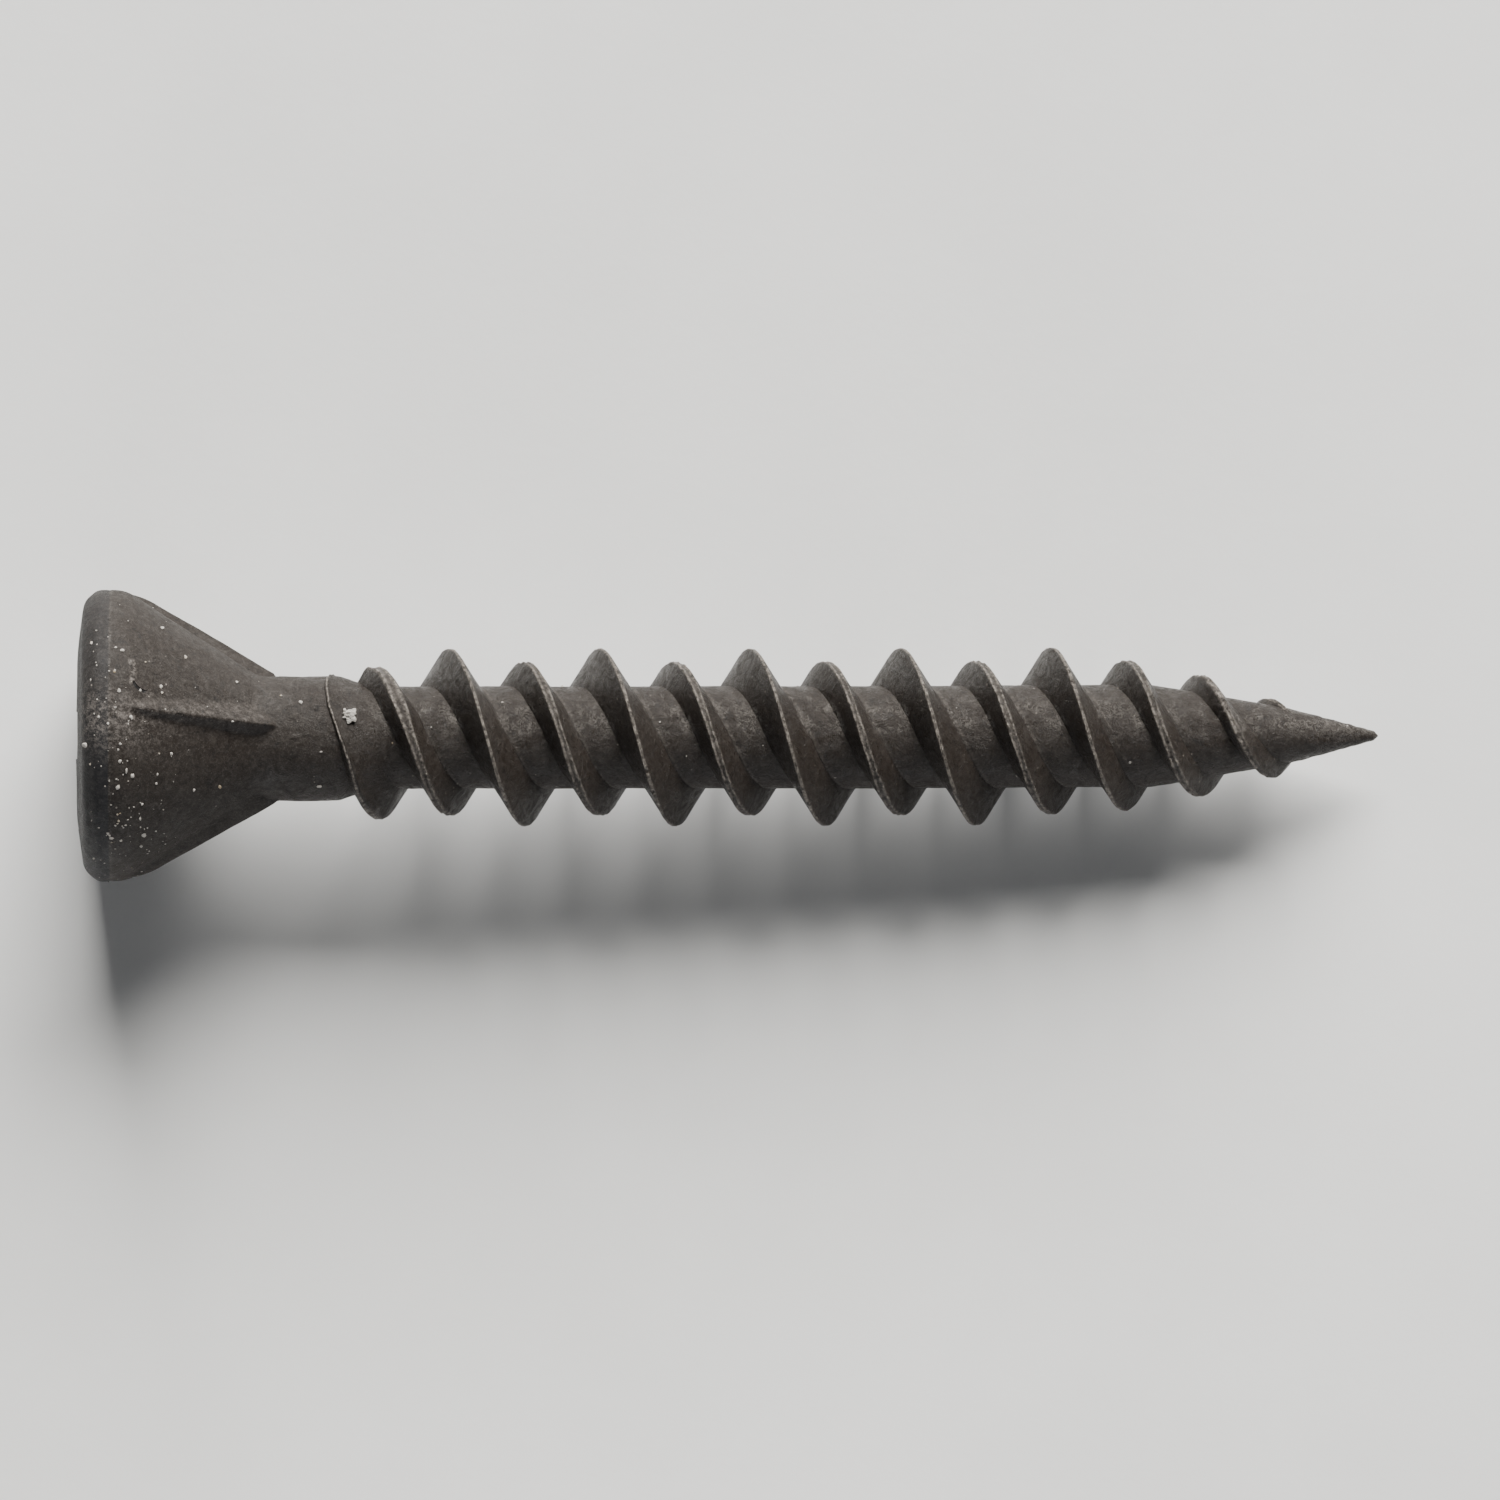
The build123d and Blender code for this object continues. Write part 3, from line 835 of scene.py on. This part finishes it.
def tabletop(name):
    """A plain pale surface, almost even in tone."""
    n = Nodes(name)
    colour = n.mix(n.ramp(n.noise(per_mm=0.12), 0.3, 0.7), TABLE_GREY, TABLE_PALE)
    relief = n.bump(n.noise(per_mm=3.0, detail=3.0), distance=0.01 * MM, strength=0.4)
    n.set(Base_Color=colour, Roughness=0.85, Normal=relief)
    return n.material


# ---------------------------------------------------------------- the screw

def add_piece(piece, material, nodes):
    """Gives a piece its material and its place in the frame. Crumbs replace no node and have no slot."""
    piece.data.materials.append(material)
    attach(piece, "root")
    if nodes:
        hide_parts(*nodes)


finish = phosphate("phosphated_steel")

add_piece(closed_mesh("forged_head", head_points()), finish, ["head", "head_ribs"])
for name, node, start, end, round_steps, spacing in (
    ("plain_neck", "neck", HEAD_END, CORE_START, ROUND_STEPS, NECK_SPACING),
    ("rolled_core", "core", CORE_START, POINT_START, SHAFT_ROUND_STEPS, SHAFT_SPACING),
    ("sharp_point", "point", POINT_START, TIP_X, SHAFT_ROUND_STEPS, POINT_SPACING),
):
    add_piece(closed_mesh(name, *shaft_points(start, end, round_steps, spacing)), finish, [node])
for name, node, crest, at_y, groove, offset, seed in (
    ("high_thread_ridge", "high_thread", HIGH_CREST, HIGH_CREST_AT_Y,
     HIGH_CREST_GROOVE, 0, HIGH_THREAD_SEED),
    ("low_thread_ridge", "low_thread", LOW_CREST, HIGH_CREST_AT_Y + LEAD / 2,
     LOW_CREST_GROOVE, LOW_CREST_OFFSET, LOW_THREAD_SEED),
):
    add_piece(closed_mesh(name, *thread_points(crest, at_y, groove, offset, seed)), finish, [node])

crumbs = scattered_crumbs(CRUMB_PLACES_SEED)
add_piece(crumb_mesh("plaster_crumbs", crumbs, CRUMB_SHAPES_SEED), plaster("plaster"), [])

# ---------------------------------------------------------------- table, light and camera

HEAD_REST_X = 0.70 * MM
THREAD_REST_X = 22.85 * MM
RISE_START = -9 * MM
RISE_END = 42 * MM
RISE_ROUNDING = 9 * MM
TABLE_HALF_SIZE = 3.0
TABLE_NEAR = 0.06
TABLE_STEPS = 160
CAMERA_LENS = 983
CAMERA_SENSOR = 36
CAMERA_CLIP = (0.01, 10)
CAMERA_PLACE = (16.42 * MM, -0.313 * MM, 1.0)
KEY_LIGHT = {"place": (0.15, 0.93, 0.56), "size": 0.70, "power": 48, "colour": (1.0, 1.0, 0.98)}
FILL_LIGHT = {"place": (0.05, -0.95, 0.10), "size": 0.50, "power": 8, "colour": (0.92, 0.95, 1.0)}
WORLD_COLOUR = (0.95, 0.97, 1.0, 1)
WORLD_STRENGTH = 0.035


def table_height(x):
    """The table's height along X. It rises under the screw, so the rim and one turn of thread touch it."""
    slope = (HEAD_RADIUS - HIGH_CREST_RADIUS) / (THREAD_REST_X - HEAD_REST_X)
    on_rise = -smooth_max(-x, -RISE_END, RISE_ROUNDING)
    on_rise = smooth_max(on_rise, np.full_like(x, RISE_START), RISE_ROUNDING)
    return -HEAD_RADIUS + (on_rise - HEAD_REST_X) * slope


def table():
    """A plain pale table that carries the screw on its head's rim and on a turn of the high thread."""
    near = np.linspace(-TABLE_NEAR, TABLE_NEAR, TABLE_STEPS)
    x = np.concatenate([[-TABLE_HALF_SIZE], near + TIP_X / 2, [TABLE_HALF_SIZE]])
    heights = table_height(x)
    vertices = [(a, side, z) for a, z in zip(x, heights) for side in (-TABLE_HALF_SIZE, TABLE_HALF_SIZE)]
    faces = [(2 * n, 2 * n + 2, 2 * n + 3, 2 * n + 1) for n in range(len(x) - 1)]
    mesh = bpy.data.meshes.new("table")
    mesh.from_pydata(vertices, [], faces)
    mesh.shade_smooth()
    made = bpy.data.objects.new("table", mesh)
    bpy.context.scene.collection.objects.link(made)
    made.data.materials.append(tabletop("table_top"))


def area_light(name, place, size, power, colour):
    """A square soft light that faces the middle of the screw."""
    light = bpy.data.lights.new(name, "AREA")
    light.shape, light.size, light.energy, light.color = "SQUARE", size, power, colour
    holder = bpy.data.objects.new(name, light)
    bpy.context.scene.collection.objects.link(holder)
    holder.location = place
    middle = Vector((TIP_X / 2, 0, 0))
    holder.rotation_euler = (middle - Vector(place)).to_track_quat("-Z", "Y").to_euler()


def photo_camera():
    """A long lens straight above the screw, with the picture's top towards +Y."""
    camera = bpy.data.cameras.new("camera")
    camera.sensor_width = CAMERA_SENSOR
    camera.lens = CAMERA_LENS
    camera.clip_start, camera.clip_end = CAMERA_CLIP
    holder = bpy.data.objects.new("camera", camera)
    bpy.context.scene.collection.objects.link(holder)
    holder.location = CAMERA_PLACE
    bpy.context.scene.camera = holder


def studio_world():
    """Faint, even light from all round."""
    world = bpy.data.worlds.new("studio")
    world.use_nodes = True
    background = world.node_tree.nodes["Background"]
    background.inputs["Color"].default_value = WORLD_COLOUR
    background.inputs["Strength"].default_value = WORLD_STRENGTH
    bpy.context.scene.world = world


table()
area_light("key", **KEY_LIGHT)
area_light("fill", **FILL_LIGHT)
studio_world()
photo_camera()
